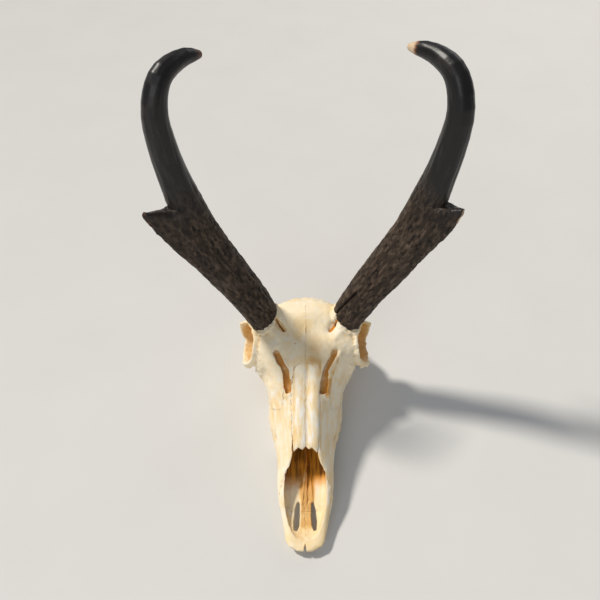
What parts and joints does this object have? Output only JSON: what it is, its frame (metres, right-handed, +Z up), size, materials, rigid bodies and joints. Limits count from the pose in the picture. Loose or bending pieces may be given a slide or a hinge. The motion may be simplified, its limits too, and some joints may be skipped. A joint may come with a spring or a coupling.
{
  "type": "pronghorn skull",
  "caption": "Pronghorn skull without a lower jaw, resting on its cheek teeth, with hooked and pronged dark horn sheaths on the brow.",
  "frame": {"origin": "on the floor under the middle of the bounding box", "axes": "+X to the animal's own left, +Y towards the back of the head, +Z up; the snout points along -Y"},
  "size_m": [0.2892, 0.2954, 0.4013],
  "materials": {
    "bone": "dry ivory bone, satin on the nose, warm tan in the hollows",
    "horn": "rough bark-brown below the prong, glossy black above, pale at the tips"
  },
  "bodies": {
    "root": {"braincase": "bone", "frontal_left": "bone", "frontal_right": "bone", "maxilla_left": "bone", "maxilla_right": "bone", "premaxilla_left": "bone", "premaxilla_right": "bone", "nasal_left": "bone", "nasal_right": "bone", "vomer": "bone", "horn_left": "horn", "horn_right": "horn"}
  },
  "joints": []
}
